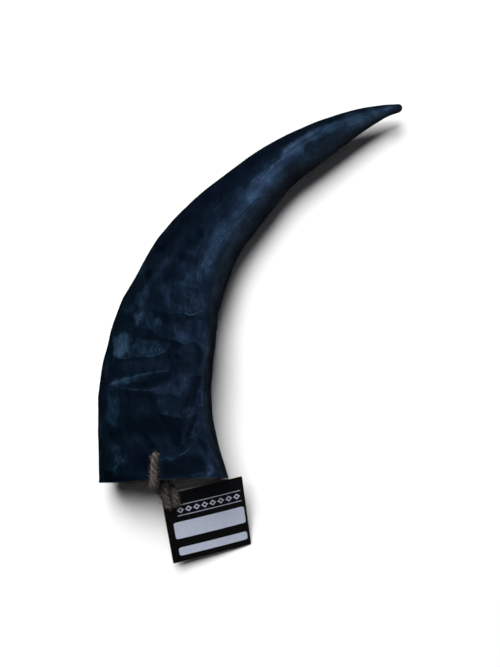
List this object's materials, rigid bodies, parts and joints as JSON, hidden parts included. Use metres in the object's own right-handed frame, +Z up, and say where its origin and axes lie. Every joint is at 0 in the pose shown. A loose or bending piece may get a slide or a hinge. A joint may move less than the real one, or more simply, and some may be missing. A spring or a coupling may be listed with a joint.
{
  "type": "buffalo horn",
  "caption": "Curved dark buffalo horn sheath, sawn flat and hollow at the base and pointed at the tip, with a square card tag tied through a drilled hole by a loop of jute twine.",
  "frame": {"origin": "on the surface the horn lies on, under the middle of the horn's outline", "axes": "+Z up; -Y towards the sawn, hollow base; the horn curves from there round to its tip at +X and +Y"},
  "size_m": [0.2127, 0.3277, 0.0613],
  "materials": {
    "horn": "satin, scraped by hand",
    "jute": "rough, three-ply",
    "card": "printed, slightly satin"
  },
  "bodies": {
    "root": {"horn": "horn", "twine": "jute", "twine_knot": "jute", "tag": "card"}
  },
  "joints": []
}
